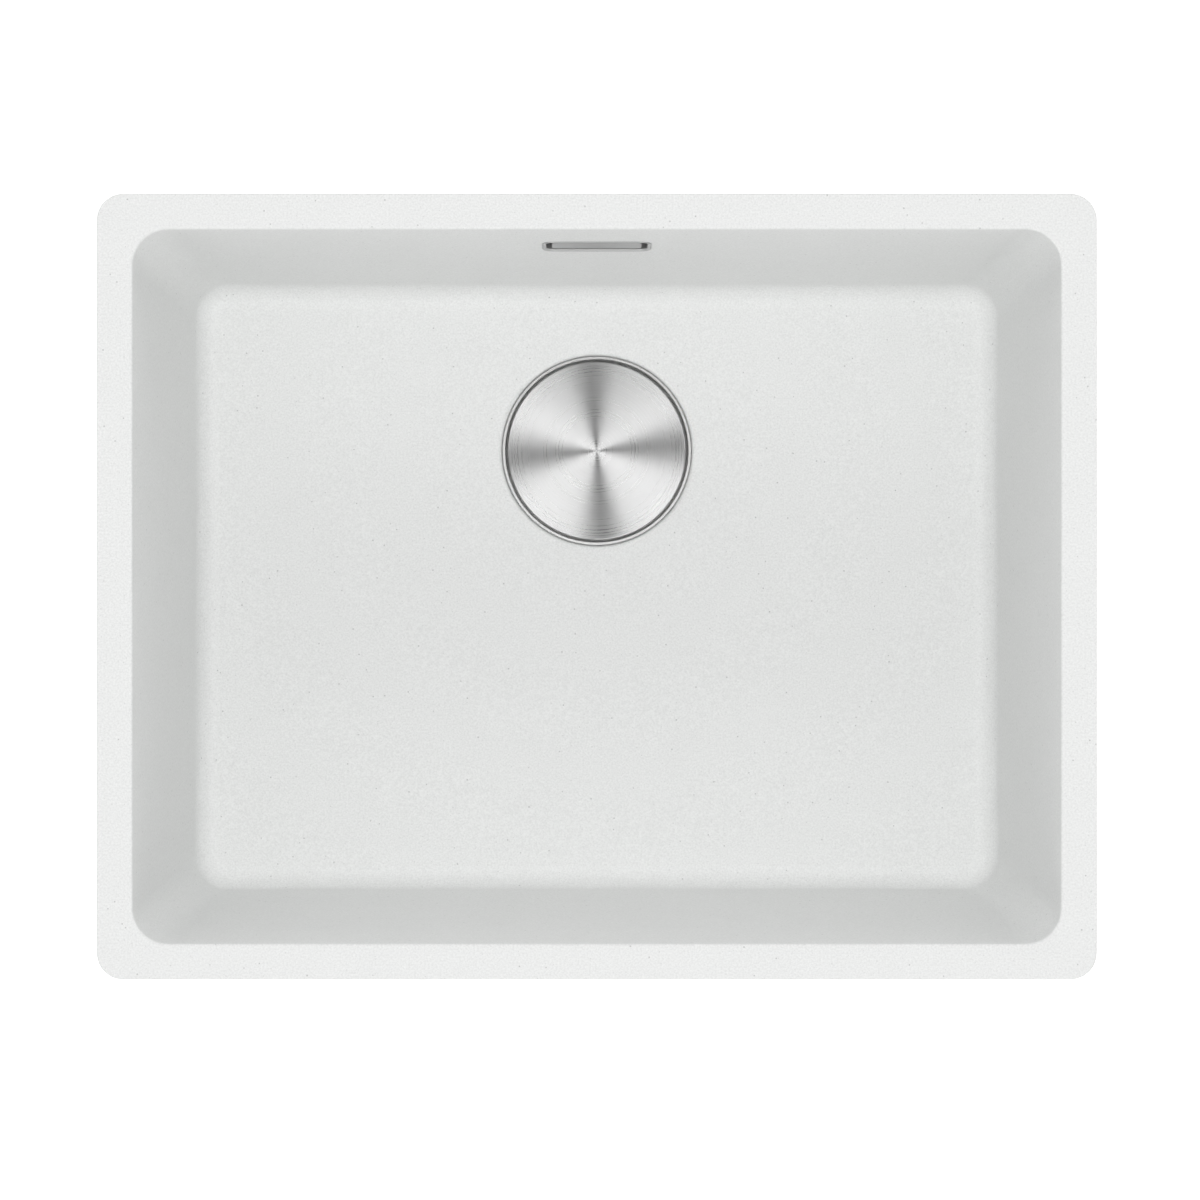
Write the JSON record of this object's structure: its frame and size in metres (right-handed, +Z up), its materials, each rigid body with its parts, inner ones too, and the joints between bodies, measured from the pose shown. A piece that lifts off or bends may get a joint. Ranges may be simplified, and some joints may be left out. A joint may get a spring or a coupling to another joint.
{
  "type": "granite composite kitchen sink",
  "caption": "Undermount bowl moulded in pale granite composite, with a slotted overflow and a strainer waste hidden under a flat brushed steel cover.",
  "frame": {"origin": "centre of the bowl's mouth, on the plane of the rim's top face", "axes": "+X along the rim's long side, +Y towards the back wall with the overflow, +Z up out of the mouth"},
  "size_m": [0.56, 0.4476, 0.304],
  "materials": {
    "granite": "fine matt grain with sparse dark flecks",
    "brushed_steel": "brushed, in circles on the cover and lengthways on the overflow",
    "pressed_steel": "satin pressed sheet",
    "brass": "turned",
    "seal_rubber": "matt black",
    "grey_plastic": "moulded, satin",
    "dark_plastic": "moulded, satin"
  },
  "bodies": {
    "sink": {"bowl": "granite", "threaded_inserts": "brass", "strainer_housing": "pressed_steel", "waste_flange_seal": "seal_rubber", "waste_body_seal": "seal_rubber", "waste_body": "grey_plastic", "centre_nut": "brass", "centre_screw": "pressed_steel", "overflow_frame": "brushed_steel", "overflow_screw": "pressed_steel", "overflow_seal": "seal_rubber", "overflow_housing": "grey_plastic", "overflow_insert": "brass", "overflow_pipe": "grey_plastic", "upper_union_nut": "dark_plastic", "upper_union_seal": "seal_rubber", "lower_union_nut": "dark_plastic", "lower_union_seal": "seal_rubber"},
    "basket": {"strainer_basket": "pressed_steel", "basket_stopper": "seal_rubber", "basket_washer": "pressed_steel", "basket_stem": "pressed_steel", "basket_knob": "pressed_steel"},
    "cover": {"cover_disc": "brushed_steel", "cover_carrier": "dark_plastic"},
    "overflow_cover": {"overflow_plate": "brushed_steel"}
  },
  "joints": [
    {"name": "basket_lift", "type": "slide", "parent": "sink", "child": "basket", "axis": [0, 0, 1], "range_m": [0, 0.26]},
    {"name": "cover_lift", "type": "slide", "parent": "basket", "child": "cover", "axis": [0, 0, 1], "range_m": [0, 0.23]},
    {"name": "overflow_plate_pull", "type": "slide", "parent": "sink", "child": "overflow_cover", "axis": [0, -0.9962, 0.0872], "range_m": [0, 0.03]}
  ]
}
